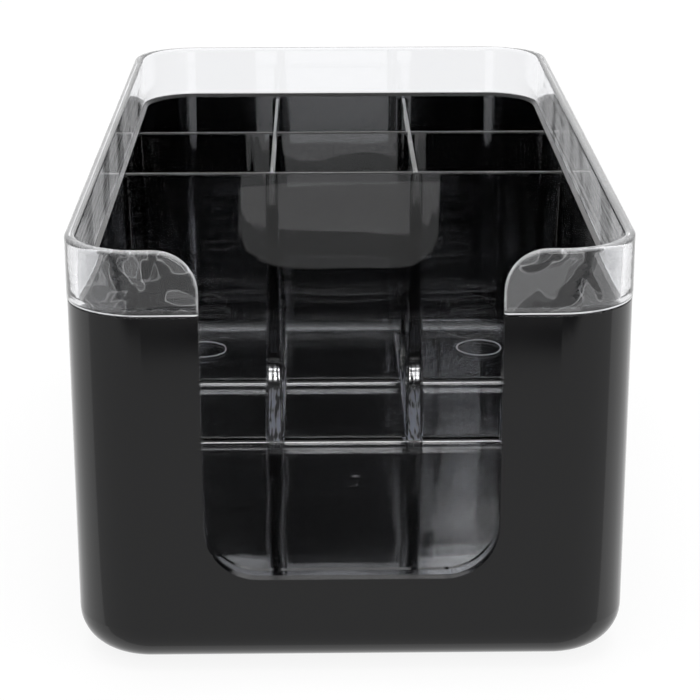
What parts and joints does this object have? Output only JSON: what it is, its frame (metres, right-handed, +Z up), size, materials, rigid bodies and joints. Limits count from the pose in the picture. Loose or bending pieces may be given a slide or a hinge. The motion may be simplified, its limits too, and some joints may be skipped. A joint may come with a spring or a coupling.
{
  "type": "napkin dispenser",
  "caption": "Countertop caddy for cocktail napkins and bar supplies: an open black box with a front finger notch and a clear lift-out tray with divided spaces.",
  "frame": {"origin": "centre of the rectangle that the object covers on the table, at table height", "axes": "+X to the object's right seen from the front, +Y from the notched front to the back, +Z up"},
  "size_m": [0.1464, 0.2704, 0.1149],
  "materials": {
    "black_shell": "satin-gloss moulded black plastic",
    "clear_tray": "clear polished moulded plastic",
    "rubber_foot": "matt black rubber"
  },
  "bodies": {
    "box": {"outer_shell": "black_shell", "foot_front_left": "rubber_foot", "foot_front_right": "rubber_foot", "foot_rear_left": "rubber_foot", "foot_rear_right": "rubber_foot"},
    "tray": {"clear_insert": "clear_tray"}
  },
  "joints": [
    {"name": "insert_lift", "type": "slide", "parent": "box", "child": "tray", "axis": [0, 0, 1], "range_m": [0, 0.12]}
  ]
}
